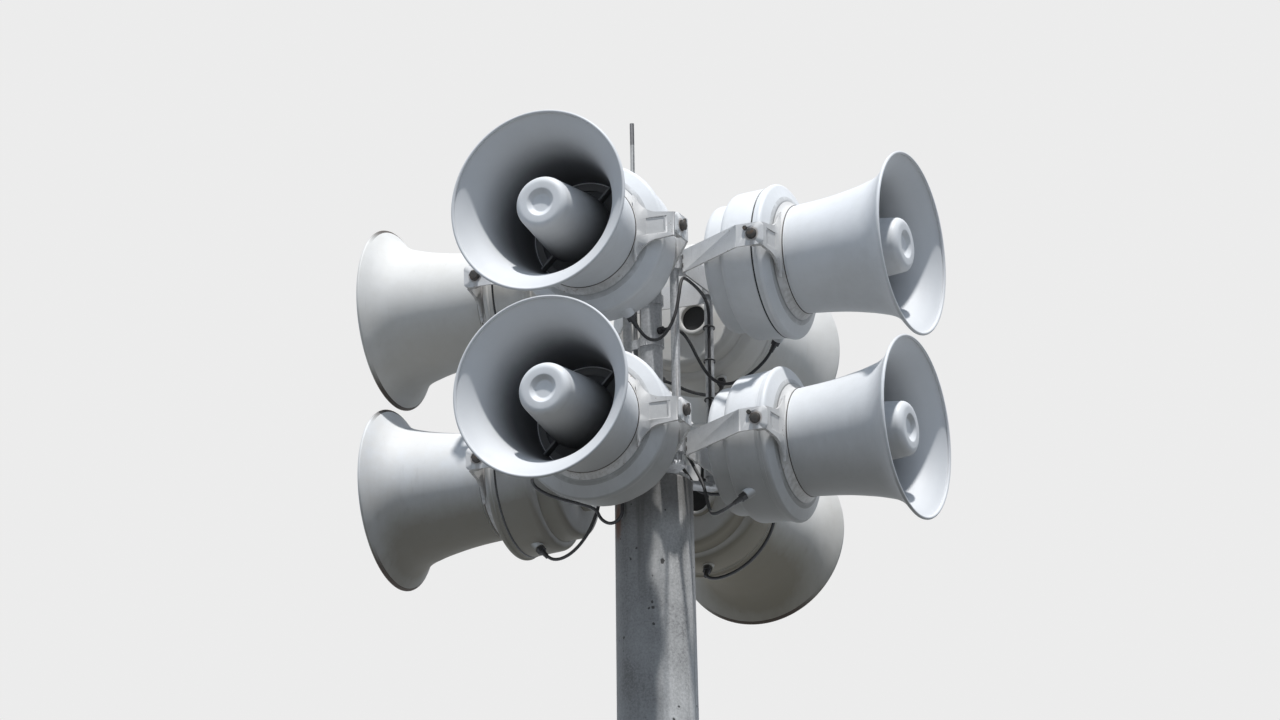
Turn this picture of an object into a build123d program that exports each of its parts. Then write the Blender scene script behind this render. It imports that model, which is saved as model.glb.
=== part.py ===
"""Electronic warning siren: eight folded horns in two tiers on a tapered concrete pole.

Millimetres, +Z up. The origin is the centre of the pole's flat face at ground level.
Each horn is drawn once, facing +X from the mast axis at its own tier height, and is then
turned to its side of the mast: front is -Y, right +X, back +Y and left -X.
"""
from build123d import *
import math
import os

# Pole: a spun concrete pole, above ground only
pole_height = 8400.0
pole_top_d = 210.0
pole_taper = 1 / 75
pole_edge_chamfer = 6.0
pole_bore_d = 92.0
pole_bore_depth = 360.0

# Tiers
tier_spacing = 515.0
tier_base = 43.0

# Frame: a centre pipe and four corner tubes between two crosses
cross_thickness = 12.0
cross_bar_width = 50.0
cross_overhang = 4.0
foot_flange_d = 196.0
top_cross_thickness = 8.0
top_cross_bar_width = 40.0
corner_offset = 120.0
upright_d = 24.0
upright_wall = 3.0
centre_pipe_d = 60.3
centre_pipe_wall = 4.0
spigot_d = 88.9
spigot_length = 300.0
upright_above_yoke = 4.0

# Yokes: a flat bar bent round the back of each housing
yoke_height = 62.0
yoke_thickness = 5.5
yoke_back_x = 146.0
yoke_corner_side = 122.0
yoke_knee_x = 358.0
arm_clearance = 41.5
yoke_bend_radius = 9.0
arm_end_beyond_pivot = 33.0
arm_corner_radius = 12.0

# Clamps between the corner tubes and the yokes
clamp_height = 40.0
clamp_wall = 5.0
clamp_pad_width = 30.0

# Tilt pivots
pivot_x = 403.0
pivot_d = 16.0
pivot_play = 0.3
bolt_head_flats = 24.0
bolt_head_height = 10.0
bolt_head_chamfer = 1.5
bolt_past_lug = 2.0
washer_d = 30.0
washer_thickness = 2.5
lock_back = 17.5
lock_up = 18.0
lock_d = 8.0
lock_head_flats = 11.0
lock_head_height = 6.0
face_gap = 0.3

# Housing profile: distances from the mast axis, and radii
boss_height = 10.0
boss_r = 46.0
boss_edge = 3.0
boss_recess_r = 32.0
boss_recess_depth = 8.0
rear_x = 222.0
cap_step = 33.0
cap_edge = 20.0
cap_root = 4.0
body_rear_x = 267.0
body_r = 206.0
body_edge = 27.0
body_draft = 2.0
gasket_x = 344.0
gasket_width = 5.0
gasket_depth = 6.0
flange_rise = 1.5
flange_width = 17.0
ridge_x = 392.0
ridge_rise = 7.5
ridge_edge = 20.0
ridge_root = (3.0, 2.5)
shoulder_x = 431.0
shoulder_rise = 28.0
hub_r = 136.0
hub_x = 463.0
throat_tube_base_r = 62.0
throat_tube_tip_r = 52.0
throat_tube_wall = 5.0
throat_tube_x = 640.0

# Cable gland on each housing
gland_x = 322.0
gland_lean = 40.0
gland_boss_d = 30.0
gland_boss_height = 8.0
gland_root = 24.0
gland_nut_flats = 22.0
gland_nut_height = 14.0

# Bell
mouth_x = 762.6
mouth_r = 246.0
bell_wall = 4.0
bell_neck_x = 470.0
bell_neck_rise = 2.5
bell_lip_rise = 6.5
bell_lip_width = 2.0
bell_flange_depth = 20.0
bell_flange_thickness = 6.0
rim_bead_r = 4.5
bell_curve = [(0.24, 8.0), (0.44, 19.0), (0.65, 33.5), (0.79, 48.0), (0.89, 71.5)]

# Drain slot low in each mouth
drain_inset = 57.0
drain_length = 27.0
drain_width = 14.0
drain_turns = {"front": 30.0, "right": -22.0, "back": 0.0, "left": 0.0}

# Reflector in the mouth of the bell
reflector_face_inset = 33.0
reflector_face_r = 72.0
reflector_face_edge = 20.0
reflector_dish_r = 40.0
reflector_dish_floor_r = 26.0
reflector_dish_depth = 11.0
reflector_dish_edge = 5.0
reflector_dish_root = 8.0
reflector_rear_x = 500.0
reflector_rear_r = 97.0
reflector_wall = 4.5
reflector_front_wall = 9.0
stay_count = 4
stay_first_turn = 45.0
stay_thickness = 6.0
stay_length = 26.0
stay_overhang = 18.0

# Trunnion bracket: a collar on the hub with two wings
collar_rear_x = 433.0
collar_rear_rise = 25.0
collar_front_rise = 7.0
collar_hollow = 3.3
wing_root_x = 455.0
wing_tip_x = 445.0
wing_thickness = 8.0
wing_bend_outer = 7.0
wing_bend_inner = 5.0
wing_root_half = 92.0
wing_root_rise = 6.0
wing_arc_run = 20.0
wing_arc_half = 58.0
wing_waist_from_lug = 54.7
wing_waist_half = 38.0
wing_inside_hub = 40.0
lug_half = 31.0
lug_thickness = 8.0
lug_behind_pivot = 30.0
wing_pocket_from_lug = 22.7
wing_pocket_length = 50.0
wing_pocket_half = 24.0
wing_pocket_rib = 5.0
wing_pocket_depth = 2.5

# Antenna rod beside the centre pipe
rod_d = 12.0
rod_x = -46.0
rod_room = 4.0
rod_foot = 30.0
rod_top = 720.0
rod_clamp_heights = [70.0, 190.0]
rod_clamp_height = 26.0
rod_clamp_wall = 5.0

# Cables
cable_d = 9.0
entry_gland_length = 14.0
entry_gland_d = 20.0
entry_turn = 20.0
foot_entry = 100.0

# Where each housing's gland lies, in degrees round from the bottom towards the horn's -Y side
gland_turns = {
    "upper_front": -20.0,
    "upper_right": -35.0,
    "upper_back": 20.0,
    "upper_left": 20.0,
    "lower_front": 70.0,
    "lower_right": 38.0,
    "lower_back": 6.0,
    "lower_left": -12.0,
}

# Where each cable goes into the centre pipe: degrees towards the horn's -Y side, and height from mid-tier
pipe_entries = {
    "upper_right": (entry_turn, 112.0),
    "upper_back": (entry_turn, -12.0),
    "upper_left": (entry_turn, -12.0),
    "lower_front": (entry_turn, -225.0),
    "lower_right": (entry_turn, -225.0),
    "lower_back": (entry_turn, -225.0),
    "lower_left": (-entry_turn, -225.0),
}

# Straight run of each cable out of its housing's gland
first_runs = {
    "upper_front": 34.0,
    "upper_right": 34.0,
    "upper_back": 45.0,
    "upper_left": 45.0,
    "lower_front": 34.0,
    "lower_right": 32.0,
    "lower_back": 26.0,
    "lower_left": 30.0,
}

# Each cable's way from there: along the horn, to its +Y side, and up from mid-tier
routes = {
    "upper_front": [
        (252, 97, 6),
        (214, 112, 14),
        (186, 128, 48),
        (168, 142, 96),
        (158, 148, 146),
        (144, 148, 190),
        (118, 144, 216),
        (70, 143, 220),
        (0, 141, 217),
        (-56, 137, 210),
        (-92, 132, 186),
        (-103, 127, 144),
        (-104, 126, 84),
        (-103, 127, 10),
        (-104, 126, -70),
        (-103, 124, -140),
        (-101, 112, -196),
        (-100, 100, -243),
    ],
    "upper_right": [
        (262, 143, 28),
        (238, 128, 2),
        (214, 104, -22),
        (190, 76, -38),
        (167, 48, -36),
        (149, 22, -14),
        (135, -2, 22),
        (121, -20, 64),
        (100, -31, 97),
        (67.7, -24.6, 112),
    ],
    "upper_back": [(234, -90, -8), (186, -74, -20), (131.6, -47.9, -20), (79.9, -29.1, -12)],
    "upper_left": [(234, -90, -8), (186, -74, -20), (131.6, -47.9, -20), (79.9, -29.1, -12)],
    "lower_front": [
        (254, -243, -356),
        (218, -226, -370),
        (184, -196, -380),
        (152, -165, -386),
        (112, -122, -396),
        (104, -112, -428),
        (104, -80.8, -446),
        (104, -49.6, -428),
        (102, -50, -390),
        (100, -51, -345),
        (98, -50, -300),
        (92, -44, -258),
        (75.2, -27.4, -225),
    ],
    "lower_right": [
        (256, -156, -469),
        (227, -138, -468),
        (206, -112, -444),
        (190, -90, -404),
        (174, -76, -356),
        (150, -64, -314),
        (128, -54, -276),
        (104, -41, -244),
        (75.2, -27.4, -225),
    ],
    "lower_back": [
        (282, -58, -513),
        (287, -104, -503),
        (293, -150, -478),
        (296, -190, -441),
        (295, -220, -396),
        (286, -236, -350),
        (260, -221, -316),
        (222, -188, -306),
        (182, -152, -308),
        (150, -112, -318),
        (126, -78, -312),
        (118, -58, -275),
        (100, -42, -243),
        (75.2, -27.4, -225),
    ],
    "lower_left": [
        (260, 54, -507),
        (228, 54, -498),
        (198, 52, -475),
        (171, 50, -441),
        (151, 48, -398),
        (137, 46, -350),
        (129, 45, -302),
        (114, 41.5, -260),
        (80, 29.1, -225),
    ],
}

sides = {"front": -90.0, "right": 0.0, "back": 90.0, "left": 180.0}

# Heights that follow
pole_foot_d = pole_top_d + pole_height * pole_taper
deck_top = pole_height + cross_thickness
lower_tier_z = deck_top + tier_base
upper_tier_z = lower_tier_z + tier_spacing
mid_z = (lower_tier_z + upper_tier_z) / 2
upright_top = upper_tier_z + yoke_height / 2 + upright_above_yoke
tiers = {"upper": upper_tier_z, "lower": lower_tier_z}

# Radii and widths that follow
cap_r = body_r - cap_step
flange_r = body_r + flange_rise
ridge_r = body_r + ridge_rise
shoulder_r = hub_r + shoulder_rise
bell_neck_r = hub_r + bell_neck_rise
bell_lip_r = hub_r + bell_lip_rise
bell_flange_r = hub_r - bell_flange_depth
collar_rear_r = hub_r + collar_rear_rise
collar_front_r = hub_r + collar_front_rise
collar_front_x = hub_x - face_gap
arm_inner_side = ridge_r + arm_clearance
arm_outer_side = arm_inner_side + yoke_thickness
lug_outer_side = arm_inner_side - face_gap
reflector_x = mouth_x - reflector_face_inset
past_everything = 2 * mouth_x


def revolved(outline):
    """Turn an outline of (distance along the horn, radius) round the horn's axis."""
    return revolve(Plane.XZ * outline, Axis.X, 360)


def corners(sketch, places):
    """The corners of a sketch that lie at the given places."""
    found = []
    for place in places:
        target = Vector(*place)
        found.append(min(sketch.vertices(), key=lambda v: (Vector(v.X, v.Y) - target).length))
    return found


def housing(gland_turn):
    """Closed driver housing: rear cap, body, gasket groove, ridge, throat tube and gland."""
    groove_end = gasket_x + gasket_width
    flange_end = groove_end + flange_width
    outline = Polygon(
        (rear_x, 0),
        (rear_x, cap_r),
        (body_rear_x, cap_r),
        (body_rear_x, body_r),
        (gasket_x, body_r - body_draft),
        (gasket_x, body_r - gasket_depth),
        (groove_end, body_r - gasket_depth),
        (groove_end, flange_r),
        (flange_end, flange_r),
        (flange_end + ridge_root[0], flange_r + ridge_root[1]),
        (ridge_x, ridge_r),
        (shoulder_x, shoulder_r),
        (shoulder_x, hub_r),
        (hub_x, hub_r),
        (hub_x, throat_tube_base_r),
        (throat_tube_x, throat_tube_tip_r),
        (throat_tube_x, throat_tube_tip_r - throat_tube_wall),
        (hub_x, throat_tube_base_r - throat_tube_wall),
        (hub_x, 0),
        align=None,
    )
    outline = fillet(corners(outline, [(rear_x, cap_r)]), cap_edge)
    outline = fillet(corners(outline, [(body_rear_x, cap_r)]), cap_root)
    outline = fillet(corners(outline, [(body_rear_x, body_r)]), body_edge)
    outline = fillet(corners(outline, [(ridge_x, ridge_r)]), ridge_edge)
    solid = revolved(outline)
    boss = Pos(rear_x - boss_height / 2, 0, 0) * Rot(0, 90, 0) * Cylinder(boss_r, boss_height)
    boss = fillet(boss.edges().filter_by(GeomType.CIRCLE).sort_by(Axis.X)[0], boss_edge)
    recess_x = rear_x - boss_height + boss_recess_depth / 2
    recess = Pos(recess_x, 0, 0) * Rot(0, 90, 0) * Cylinder(boss_recess_r, boss_recess_depth)
    return solid + boss - recess + gland(gland_turn)


def gland(gland_turn):
    """Boss and nut where the cable leaves the housing, leaning back."""
    boss = Pos(0, 0, -gland_root) * extrude(Circle(gland_boss_d / 2), gland_root + gland_boss_height)
    nut_sketch = RegularPolygon(gland_nut_flats / 2, 6, major_radius=False)
    nut = Pos(0, 0, gland_boss_height) * extrude(nut_sketch, gland_nut_height)
    return gland_plane(gland_turn).location * (boss + nut)


def gland_plane(gland_turn):
    """Plane on the housing under the gland, its normal the way the cable leaves."""
    turn = math.radians(gland_turn)
    lean = math.radians(gland_lean)
    outward = Vector(0, -math.sin(turn), -math.cos(turn))
    leaving = outward * math.cos(lean) + Vector(-math.sin(lean), 0, 0)
    return Plane(origin=Vector(gland_x, 0, 0) + outward * body_r, z_dir=leaving)


def bell_outside():
    """Curve of the bell's outer face, from neck to rim."""
    length = mouth_x - bell_neck_x
    middle = [(bell_neck_x + share * length, bell_neck_r + rise) for share, rise in bell_curve]
    return Spline((bell_neck_x, bell_neck_r), *middle, (mouth_x - rim_bead_r, mouth_r))


def inside_points(depth, steps=12):
    """Points a given depth inside the bell's outer face."""
    outer = bell_outside()
    found = []
    for i in range(steps + 1):
        place = outer @ (i / steps)
        slope = outer % (i / steps)
        found.append((place.X + slope.Y * depth, place.Y - slope.X * depth))
    return found


def bell(drain_turn):
    """Flared bell with a rolled rim, a flange on the hub and a drain slot."""
    outer = bell_outside()
    wall_points = inside_points(bell_wall)
    inner = Spline(*wall_points)
    flange_x = hub_x + face_gap
    flange_end = flange_x + bell_flange_thickness
    neck = Polyline(
        wall_points[0],
        (flange_end, wall_points[0][1]),
        (flange_end, bell_flange_r),
        (flange_x, bell_flange_r),
        (flange_x, bell_lip_r),
        (bell_neck_x - bell_lip_width, bell_lip_r),
        (bell_neck_x, bell_neck_r),
    )
    lip = Line(outer @ 1, wall_points[-1])
    outline = make_face(Curve() + [outer, lip, inner, neck])
    bead_centre = outer @ 1
    bead = Pos(bead_centre.X, bead_centre.Y - bell_wall / 4) * Circle(rim_bead_r)
    drain_x = mouth_x - drain_inset
    slot = Pos(drain_x, 0, -mouth_r) * extrude(SlotOverall(drain_length, drain_width), mouth_r / 2)
    return Rot(-drain_turn, 0, 0) * (revolved(outline + bead) - slot)


def bell_space():
    """Space inside the bell, a running gap clear of its wall."""
    points = inside_points(bell_wall + face_gap)
    wall = Spline(*points)
    ends = Polyline(points[-1], (points[-1][0], 0), (points[0][0], 0), points[0])
    return revolved(make_face(Curve() + [wall, ends]))


def reflector():
    """Closed cup in the mouth, dished in front, on stays from the bell's neck."""
    rear_inner_r = reflector_rear_r - reflector_wall
    front_inner_x = reflector_x - reflector_dish_depth - reflector_front_wall
    front_inner_r = reflector_face_r - reflector_wall
    outline = Polygon(
        (reflector_x - reflector_dish_depth, 0),
        (reflector_x - reflector_dish_depth, reflector_dish_floor_r),
        (reflector_x, reflector_dish_r),
        (reflector_x, reflector_face_r),
        (reflector_rear_x, reflector_rear_r),
        (reflector_rear_x, rear_inner_r),
        (front_inner_x, front_inner_r),
        (front_inner_x, 0),
        align=None,
    )
    outline = fillet(corners(outline, [(reflector_x, reflector_face_r)]), reflector_face_edge)
    outline = fillet(corners(outline, [(reflector_x, reflector_dish_r)]), reflector_dish_edge)
    dish_floor = (reflector_x - reflector_dish_depth, reflector_dish_floor_r)
    outline = fillet(corners(outline, [dish_floor]), reflector_dish_root)
    solid = revolved(outline)
    stay_x = reflector_rear_x - stay_overhang
    middle = (rear_inner_r + mouth_r) / 2
    stay = Pos(stay_x + stay_length / 2, 0, middle) * Box(stay_length, stay_thickness, mouth_r - rear_inner_r)
    stay &= bell_space()
    for i in range(stay_count):
        solid += Rot(stay_first_turn + 360 / stay_count * i, 0, 0) * stay
    return solid


def bracket():
    """Trunnion bracket: collar on the hub, swept wings and lugs that take the pivots."""
    rear = Vector(collar_rear_x, collar_rear_r)
    front = Vector(collar_front_x, collar_front_r)
    slope = (front - rear).normalized()
    hollow = (rear + front) / 2 + Vector(slope.Y, -slope.X) * collar_hollow
    collar = make_face(
        Curve()
        + [
            Polyline(
                (collar_front_x, collar_front_r),
                (collar_front_x, hub_r + face_gap),
                (collar_rear_x, hub_r + face_gap),
                (collar_rear_x, collar_rear_r),
            ),
            ThreePointArc(rear, hollow, front),
        ]
    )
    solid = revolved(collar)
    for turn in (0, 180):
        solid += Rot(turn, 0, 0) * wing()
    hub_hole = Pos(hub_x, 0, 0) * Rot(0, 90, 0) * Cylinder(hub_r + face_gap, hub_x)
    return solid - hub_hole


def wing():
    """One wing of the bracket, towards +Y."""
    lug_inner = lug_outer_side - lug_thickness
    plan = Polygon(
        (wing_root_x, hub_r),
        (wing_tip_x, lug_outer_side),
        (pivot_x - lug_behind_pivot, lug_outer_side),
        (pivot_x - lug_behind_pivot, lug_inner),
        (wing_tip_x - wing_thickness, lug_inner),
        (wing_root_x - wing_thickness, hub_r),
        align=None,
    )
    plan = fillet(corners(plan, [(wing_tip_x, lug_outer_side)]), wing_bend_outer)
    plan = fillet(corners(plan, [(wing_tip_x - wing_thickness, lug_inner)]), wing_bend_inner)
    plate = Pos(0, 0, -wing_root_half) * extrude(plan, 2 * wing_root_half)
    root_side = hub_r + wing_root_rise
    arc_side = root_side + wing_arc_run
    waist_side = lug_outer_side - wing_waist_from_lug
    inside = hub_r - wing_inside_hub
    outside = lug_outer_side + lug_thickness
    front = make_face(
        Curve()
        + [
            Line((inside, wing_root_half), (root_side, wing_root_half)),
            ThreePointArc((root_side, wing_root_half), (arc_side, wing_arc_half), (waist_side, wing_waist_half)),
            Polyline((waist_side, wing_waist_half), (outside, lug_half), (outside, -lug_half), (waist_side, -wing_waist_half)),
            ThreePointArc((waist_side, -wing_waist_half), (arc_side, -wing_arc_half), (root_side, -wing_root_half)),
            Polyline((root_side, -wing_root_half), (inside, -wing_root_half), (inside, wing_root_half)),
        ]
    )
    plate &= extrude(Plane.YZ * front, past_everything)
    lug_rear = pivot_x - lug_behind_pivot
    solid = plate - Pos(lug_rear, lug_outer_side, 0) * Rot(90, 0, 0) * lug_corner_cutter()
    pocket_middle = lug_outer_side - wing_pocket_from_lug - wing_pocket_length / 2
    slope = (wing_root_x - wing_tip_x) / (lug_outer_side - hub_r)
    face_x = wing_root_x - slope * (pocket_middle - hub_r)
    pocket = Pos(face_x, pocket_middle, 0) * Rot(0, 0, math.degrees(math.atan(slope)))
    ring_width = 2 * wing_pocket_rib
    frame = Box(2 * wing_pocket_depth, wing_pocket_length, 2 * wing_pocket_half)
    frame -= Box(2 * wing_pocket_depth, wing_pocket_length - ring_width, 2 * wing_pocket_half - ring_width)
    solid -= pocket * frame
    hole = Pos(pivot_x, lug_outer_side, 0) * Rot(90, 0, 0) * Cylinder(pivot_d / 2 + pivot_play, 4 * lug_thickness)
    return solid - hole


def lug_corner_cutter():
    """Takes the square corners off the lug's rear end, round the pivot."""
    depth = 4 * lug_thickness
    block = Box(2 * lug_behind_pivot, 3 * lug_half, depth)
    disc = Pos(lug_behind_pivot, 0, 0) * Cylinder(lug_half, depth)
    return block - disc


def yoke():
    """Flat bar: across two corner tubes, out round the housing and forward to the pivots."""
    end_x = pivot_x + arm_end_beyond_pivot
    middle_side = arm_inner_side + yoke_thickness / 2
    line = [
        (end_x, middle_side),
        (yoke_knee_x, middle_side),
        (yoke_back_x, yoke_corner_side),
        (yoke_back_x, -yoke_corner_side),
        (yoke_knee_x, -middle_side),
        (end_x, -middle_side),
    ]
    path = FilletPolyline(*line, radius=yoke_bend_radius)
    strip = trace(path, yoke_thickness)
    bar = extrude(strip, yoke_height / 2, both=True)
    ends = bar.edges().filter_by(Axis.Y).group_by(Axis.X)[-1]
    bar = fillet(ends, arm_corner_radius)
    hole = Pos(pivot_x, 0, 0) * Rot(90, 0, 0) * Cylinder(pivot_d / 2 + pivot_play, past_everything)
    lock = Pos(pivot_x - lock_back, 0, lock_up) * Rot(90, 0, 0) * Cylinder(lock_d / 2 + pivot_play, past_everything)
    return bar - hole - lock


def pivot_bolt(side):
    """Hex bolt from outside the arm into the lug."""
    shank_start = lug_outer_side - lug_thickness - bolt_past_lug
    head_start = arm_outer_side + washer_thickness + face_gap
    shank = extrude(Circle(pivot_d / 2), head_start - shank_start)
    washer_z = arm_outer_side + face_gap - shank_start
    washer = Pos(0, 0, washer_z) * extrude(Circle(washer_d / 2), washer_thickness)
    head_sketch = RegularPolygon(bolt_head_flats / 2, 6, major_radius=False)
    head = Pos(0, 0, head_start - shank_start) * extrude(head_sketch, bolt_head_height)
    head = chamfer(head.edges().group_by(Axis.Z)[-1], bolt_head_chamfer)
    bolt = shank + washer + head
    return Pos(pivot_x, side * shank_start, 0) * Rot(-90 * side, 0, 0) * bolt


def lock_screw(side):
    """Small screw in the arm whose point bears on the lug."""
    tip = arm_inner_side
    head_start = arm_outer_side + face_gap
    shank = extrude(Circle(lock_d / 2), head_start - tip)
    head_sketch = RegularPolygon(lock_head_flats / 2, 6, major_radius=False)
    head = Pos(0, 0, head_start - tip) * extrude(head_sketch, lock_head_height)
    return Pos(pivot_x - lock_back, side * tip, lock_up) * Rot(-90 * side, 0, 0) * (shank + head)


def tube(outer_d, wall, bottom, top):
    """Upright round tube between two heights."""
    ring = Circle(outer_d / 2) - Circle(outer_d / 2 - wall)
    return Pos(0, 0, bottom) * extrude(ring, top - bottom)


def cross(thickness, bar_width, bottom, centre_d):
    """Two flat bars crossed on the diagonals, with a round middle."""
    reach = 2 * (corner_offset * math.sqrt(2) + upright_d / 2 + cross_overhang)
    shape = Circle(centre_d / 2)
    for turn in (45, 135):
        shape += Rot(0, 0, turn) * SlotOverall(reach, bar_width)
    return Pos(0, 0, bottom) * extrude(shape, thickness)


def pole():
    """Tapered round pole with a bore in its head for the spigot."""
    solid = Pos(0, 0, pole_height / 2) * Cone(pole_foot_d / 2, pole_top_d / 2, pole_height)
    solid = chamfer(solid.edges().filter_by(GeomType.CIRCLE).sort_by(Axis.Z)[-1], pole_edge_chamfer)
    bore = Pos(0, 0, pole_height - pole_bore_depth / 2) * Cylinder(pole_bore_d / 2, pole_bore_depth)
    return solid - bore


def clamp(tier_z):
    """Pipe clamp on one corner tube, with a pad for each of the two yokes that meet there."""
    ring_r = upright_d / 2 + clamp_wall
    shape = Circle(ring_r)
    pad_face = yoke_back_x - yoke_thickness / 2 - face_gap - corner_offset
    for turn in (0, -90):
        shape += Rot(0, 0, turn) * Pos(pad_face / 2, 0) * Rectangle(pad_face, clamp_pad_width)
    shape -= Circle(upright_d / 2 + face_gap)
    solid = Pos(0, 0, tier_z - clamp_height / 2) * extrude(shape, clamp_height)
    return Pos(corner_offset, -corner_offset, 0) * solid


def rod_clamp(height):
    """Block round the centre pipe and the antenna rod."""
    ring_r = centre_pipe_d / 2 + rod_clamp_wall
    shape = Circle(ring_r) + Pos(rod_x, 0) * Circle(rod_d / 2 + rod_clamp_wall)
    shape += Pos(rod_x / 2, 0) * Rectangle(-rod_x, 2 * (rod_d / 2 + rod_clamp_wall))
    shape -= Circle(centre_pipe_d / 2 + face_gap)
    shape -= Pos(rod_x, 0) * Circle(rod_d / 2 + face_gap)
    return Pos(0, 0, mid_z + height) * extrude(shape, rod_clamp_height)


def cable(horn):
    """Round tube from a horn's gland along its route, each corner as round as its runs allow."""
    path = [Vector(*p) for p in cable_points(horn)]
    radii = []
    for before, here, after in zip(path, path[1:], path[2:]):
        run_in = here - before
        run_out = after - here
        turn = math.radians(run_in.get_angle(run_out))
        radii.append(0.45 * min(run_in.length, run_out.length) / math.tan(turn / 2))
    line = FilletPolyline(*path, radius=radii)
    solid = sweep(Plane(origin=line @ 0, z_dir=line % 0) * Circle(cable_d / 2), line)
    expected = math.pi * cable_d ** 2 / 4 * line.length
    print(horn, "cable", round(line.length), "long, volume share", round(solid.volume / expected, 4))
    print("  runs", [round((b - a).length) for a, b in zip(path, path[1:])], "radii", [round(r) for r in radii])
    return solid


def cable_points(horn):
    """Every point of a cable's route, from its housing's gland to where it goes in."""
    tier_up = tiers[horn.split("_")[0]] - mid_z
    plane = gland_plane(gland_turns[horn])
    tip = plane.origin + plane.z_dir * (gland_boss_height + gland_nut_height + face_gap)
    tip += Vector(0, 0, tier_up)
    points = [tip, tip + plane.z_dir * first_runs[horn]] + routes[horn]
    if horn in pipe_entries:
        turn, up = pipe_entries[horn]
        distance = centre_pipe_d / 2 + entry_gland_length + 2 * face_gap
        across = -distance * math.sin(math.radians(turn))
        return points + [Vector(distance * math.cos(math.radians(turn)), across, up)]
    return points + [Vector(-foot_entry, foot_entry, deck_top + entry_gland_length + 2 * face_gap - mid_z)]


def cable_glands():
    """Short glands where the cables go in: seven on the centre pipe and one on the foot cross."""
    shapes = []
    for horn, (entry, up) in pipe_entries.items():
        turn = sides[horn.split("_")[1]] - entry
        start = centre_pipe_d / 2 + face_gap
        place = Rot(0, 0, turn) * Pos(start + entry_gland_length / 2, 0, mid_z + up) * Rot(0, 90, 0)
        shapes.append(place * Cylinder(entry_gland_d / 2, entry_gland_length))
    foot_place = Pos(foot_entry, foot_entry, deck_top + face_gap + entry_gland_length / 2)
    shapes.append(foot_place * Cylinder(entry_gland_d / 2, entry_gland_length))
    return Compound(children=shapes)


def save(name, shape):
    export_step(shape, "parts/" + name + ".step")


def main():
    os.makedirs("parts", exist_ok=True)

    save("concrete_pole", pole())
    foot = cross(cross_thickness, cross_bar_width, pole_height, foot_flange_d)
    spigot = tube(spigot_d, centre_pipe_wall, pole_height - spigot_length, pole_height)
    save("foot_cross", foot + spigot)
    save("centre_pipe", tube(centre_pipe_d, centre_pipe_wall, deck_top, upright_top))
    top_middle_d = 2 * (-rod_x - rod_d / 2 - rod_room)
    save("top_cross", cross(top_cross_thickness, top_cross_bar_width, upright_top, top_middle_d))

    uprights = []
    clamps = []
    for turn in sides.values():
        leg = Pos(corner_offset, -corner_offset, 0) * tube(upright_d, upright_wall, deck_top, upright_top)
        uprights.append(Rot(0, 0, turn) * leg)
        for tier_z in tiers.values():
            clamps.append(Rot(0, 0, turn) * clamp(tier_z))
    save("corner_uprights", Compound(children=uprights))
    save("yoke_clamps", Compound(children=clamps))

    save("antenna_rod", Pos(rod_x, 0, mid_z + rod_foot) * extrude(Circle(rod_d / 2), rod_top - rod_foot))
    save("antenna_clamps", Compound(children=[rod_clamp(h) for h in rod_clamp_heights]))
    save("cable_glands", cable_glands())

    one_yoke = yoke()
    bolts = []
    screws = []
    for side_name, turn in sides.items():
        pair = []
        for tier_z in tiers.values():
            place = Pos(0, 0, tier_z) * Rot(0, 0, turn)
            pair.append(place * one_yoke)
            for side in (1, -1):
                bolts.append(place * pivot_bolt(side))
                screws.append(place * lock_screw(side))
        save(side_name + "_yokes", Compound(children=pair))
    save("pivot_bolts", Compound(children=bolts))
    save("lock_screws", Compound(children=screws))

    one_reflector = reflector()
    one_bracket = bracket()
    for side_name, turn in sides.items():
        one_bell = bell(drain_turns[side_name])
        for tier_name, tier_z in tiers.items():
            horn = tier_name + "_" + side_name
            place = Pos(0, 0, tier_z) * Rot(0, 0, turn)
            save(horn + "_housing", place * housing(gland_turns[horn]))
            save(horn + "_bell", place * one_bell)
            save(horn + "_reflector", place * one_reflector)
            save(horn + "_bracket", place * one_bracket)
            save(horn + "_cable", Pos(0, 0, mid_z) * Rot(0, 0, turn) * cable(horn))


main()
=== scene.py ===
"""Electronic warning siren: eight folded horns in two tiers on a tapered concrete pole.

Metres, +Z up, in the frame of the built parts. Each horn is drawn facing +X from the mast axis
and is then turned to its side of the mast: front is -Y, right +X, back +Y and left -X.
"""
import bmesh
import bpy
import math
from mathutils import Matrix, Vector


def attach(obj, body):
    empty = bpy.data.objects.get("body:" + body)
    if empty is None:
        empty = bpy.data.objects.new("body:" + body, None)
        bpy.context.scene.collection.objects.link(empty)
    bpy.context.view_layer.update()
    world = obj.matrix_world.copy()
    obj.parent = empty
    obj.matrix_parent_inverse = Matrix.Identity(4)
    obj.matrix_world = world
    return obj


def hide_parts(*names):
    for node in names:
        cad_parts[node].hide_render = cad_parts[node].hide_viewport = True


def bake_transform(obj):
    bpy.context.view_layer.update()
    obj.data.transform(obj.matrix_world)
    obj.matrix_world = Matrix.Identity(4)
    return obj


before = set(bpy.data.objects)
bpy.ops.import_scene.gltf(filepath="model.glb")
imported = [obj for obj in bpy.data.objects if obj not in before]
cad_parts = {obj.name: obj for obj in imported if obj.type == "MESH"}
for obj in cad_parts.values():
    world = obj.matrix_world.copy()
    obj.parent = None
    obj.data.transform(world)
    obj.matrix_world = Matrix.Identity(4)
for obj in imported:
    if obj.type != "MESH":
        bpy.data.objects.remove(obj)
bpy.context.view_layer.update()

# Camera
# A long lens near the ground, in front of the siren and somewhat to its right, looks up at
# the horns. The aim is a little off the mast axis, and the picture leans by one degree.
mid_z = 8.7125
view_turn = math.radians(22.643)
view_rise = math.radians(17.887)
view_roll = math.radians(-0.987)
view_distance = 23.2
aim_right = -0.03127
aim_up = 0.03536
lens = 241.8

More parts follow.
